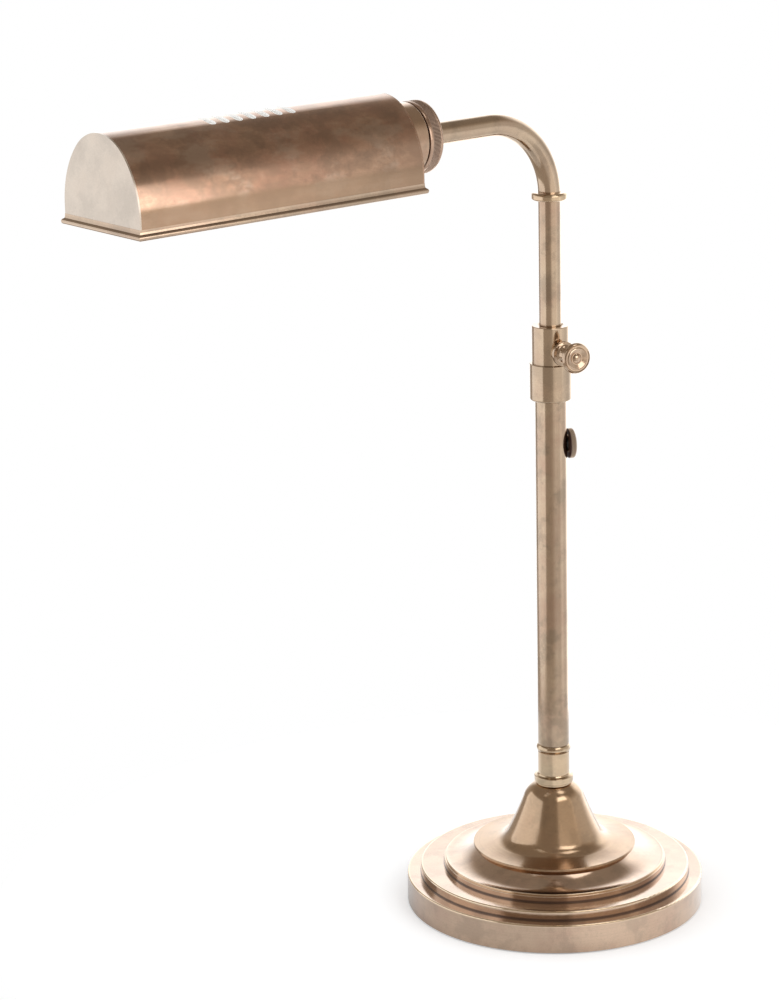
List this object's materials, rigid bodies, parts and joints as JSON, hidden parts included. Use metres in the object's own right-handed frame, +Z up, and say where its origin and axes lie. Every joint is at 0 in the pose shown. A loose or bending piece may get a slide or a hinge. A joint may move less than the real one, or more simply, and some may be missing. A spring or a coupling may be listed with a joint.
{
  "type": "piano lamp",
  "caption": "Desk and music lamp with a weighted stepped foot, a clamped sliding post, a bent arm and a trough shade that tilts and locks with a knurled ring.",
  "frame": {"origin": "Centre of the foot's underside on the table.", "axes": "+Z up along the post; the arm and the shade run along -X at rest; +Y is to the back."},
  "size_m": [0.3992, 0.178, 0.5014],
  "materials": {
    "aged_brass_foot": "aged brass, satin",
    "aged_brass_tube": "aged brass, satin",
    "aged_brass_shade": "aged brass, dark satin",
    "bright_brass": "polished brass",
    "felt": "felt",
    "iron": "cast",
    "steel": "plated",
    "black_plastic": "moulded",
    "porcelain": "glazed insulator",
    "glass": "clear glass"
  },
  "bodies": {
    "post": {"foot_shell": "aged_brass_foot", "foot_weight": "iron", "felt_pad": "felt", "cord_bush": "black_plastic", "tie_pipe": "steel", "lock_washer": "steel", "pipe_nut": "steel", "bell": "aged_brass_foot", "bell_collar": "bright_brass", "post_coupling": "bright_brass", "post_tube": "aged_brass_tube", "post_ferrule": "aged_brass_tube", "clamp_sleeve": "aged_brass_tube", "clamp_boss": "bright_brass", "switch_body": "black_plastic", "switch_nut": "bright_brass"},
    "switch": {"switch_knob": "bright_brass", "switch_shaft": "steel"},
    "shoe": {"clamp_shoe": "aged_brass_tube"},
    "clamp": {"clamp_screw": "steel", "clamp_knob": "bright_brass"},
    "guide": {"guide_bush": "black_plastic"},
    "arm": {"stem_tube": "aged_brass_tube", "stem_foot_flange": "aged_brass_tube", "stem_keeper": "aged_brass_tube", "stem_collar": "bright_brass", "arm_tube": "aged_brass_tube", "arm_hub": "aged_brass_tube", "lampholder_shell": "aged_brass_tube", "lampholder_core": "porcelain", "bulb_cap": "steel", "bulb_glass": "glass"},
    "lock": {"lock_ring": "aged_brass_tube"},
    "shade": {"shade_neck": "aged_brass_tube", "shade_trough": "aged_brass_shade", "shade_cap_near": "aged_brass_shade", "shade_cap_far": "aged_brass_shade", "rim_front": "aged_brass_shade", "rim_back": "aged_brass_shade", "rim_near": "aged_brass_shade", "rim_far": "aged_brass_shade"}
  },
  "joints": [
    {"name": "stem_height", "type": "slide", "parent": "post", "child": "guide", "axis": [0, 0, 1], "range_m": [-0.012, 0.013]},
    {"name": "arm_swivel", "type": "hinge", "parent": "guide", "child": "arm", "pos_m": [0, 0, 0.31], "axis": [0, 0, 1], "range_deg": [-170, 170]},
    {"name": "ring_turn", "type": "hinge", "parent": "arm", "child": "lock", "pos_m": [-0.0995, 0, 0.4745], "axis": [-1, 0, 0], "range_deg": [-45, 45]},
    {"name": "shade_tilt", "type": "hinge", "parent": "arm", "child": "shade", "pos_m": [-0.12, 0, 0.4745], "axis": [-1, 0, 0], "range_deg": [-90, 90]},
    {"name": "shoe_travel", "type": "slide", "parent": "post", "child": "shoe", "axis": [-0.1908, -0.9816, 0], "range_m": [-0.00025, 0.002]},
    {"name": "clamp_turn", "type": "hinge", "parent": "shoe", "child": "clamp", "pos_m": [-0.0042, -0.0216, 0.3395], "axis": [-0.1908, -0.9816, 0], "range_deg": [-95, 725]},
    {"name": "switch_turn", "type": "hinge", "parent": "post", "child": "switch", "pos_m": [0.01025, -0.00522, 0.2824], "axis": [0.891, -0.454, 0], "range_deg": [0, 280]}
  ],
  "couplings": [
    {"joint": "clamp_turn", "follows": "shoe_travel", "rad_per_m": 6283.2}
  ]
}
